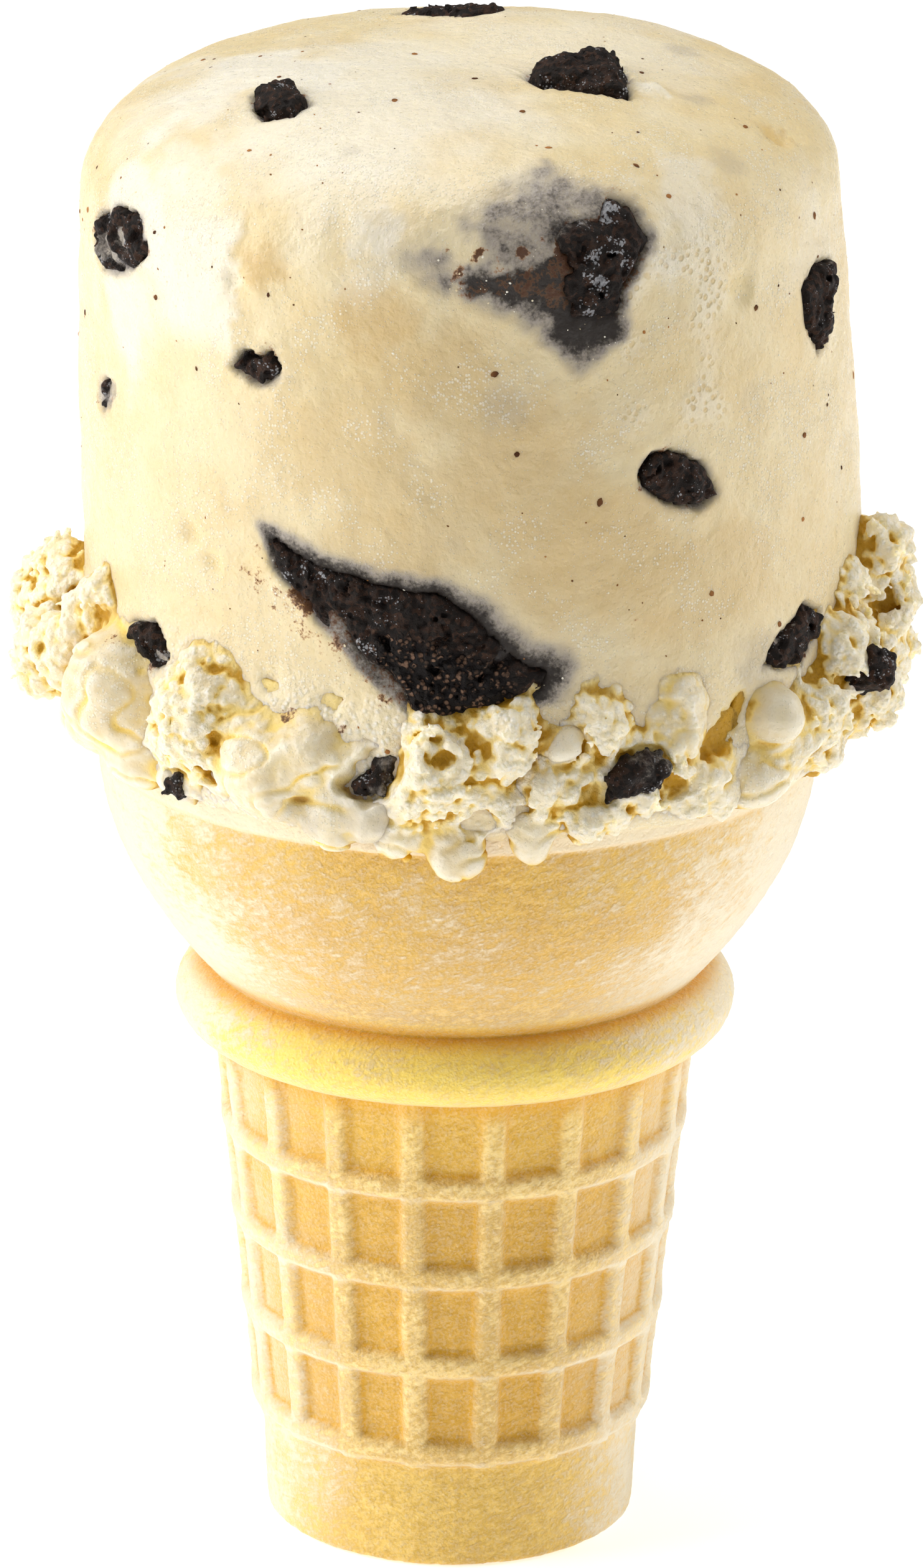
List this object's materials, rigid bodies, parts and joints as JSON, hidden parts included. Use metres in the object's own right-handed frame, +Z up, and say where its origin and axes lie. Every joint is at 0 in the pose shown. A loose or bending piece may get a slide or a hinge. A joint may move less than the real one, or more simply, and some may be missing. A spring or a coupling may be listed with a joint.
{
  "type": "ice cream cone",
  "caption": "A flat-bottomed moulded wafer cup with a waffle stem, filled with a tall drum of vanilla ice cream that holds dark biscuit pieces and has a ragged crown of curds round its foot",
  "frame": {"origin": "Middle of the cup's flat base, on the floor", "axes": "+Z up along the cup's axis, the face seen in the picture looks to -Y, +X to the right of the picture"},
  "size_m": [0.0716, 0.0716, 0.1217],
  "materials": {
    "wafer_cup": "dry baked wafer with a fine grain and flour-pale high spots",
    "ice_cream": "cold vanilla ice cream: slightly waxy film with soft wet highlights, granular where it tore",
    "biscuit": "dark porous crumbly biscuit with frost and a thin film of milk at its edges"
  },
  "bodies": {
    "root": {"biscuit_back_corner": "biscuit", "biscuit_back_high": "biscuit", "biscuit_back_left": "biscuit", "biscuit_back_low": "biscuit", "biscuit_back_middle": "biscuit", "biscuit_back_right": "biscuit", "biscuit_back_small": "biscuit", "biscuit_crown_back": "biscuit", "biscuit_crown_centre": "biscuit", "biscuit_crown_front": "biscuit", "biscuit_crown_left": "biscuit", "biscuit_crown_right": "biscuit", "biscuit_left_edge": "biscuit", "biscuit_left_low": "biscuit", "biscuit_left_middle": "biscuit", "biscuit_left_upper": "biscuit", "biscuit_lower_slab": "biscuit", "biscuit_right_low": "biscuit", "biscuit_right_round": "biscuit", "biscuit_right_side": "biscuit", "biscuit_top_back": "biscuit", "biscuit_top_left": "biscuit", "biscuit_top_right": "biscuit", "biscuit_upper_slab": "biscuit", "ice_cream": "ice_cream", "wafer_cup": "wafer_cup"}
  },
  "joints": []
}
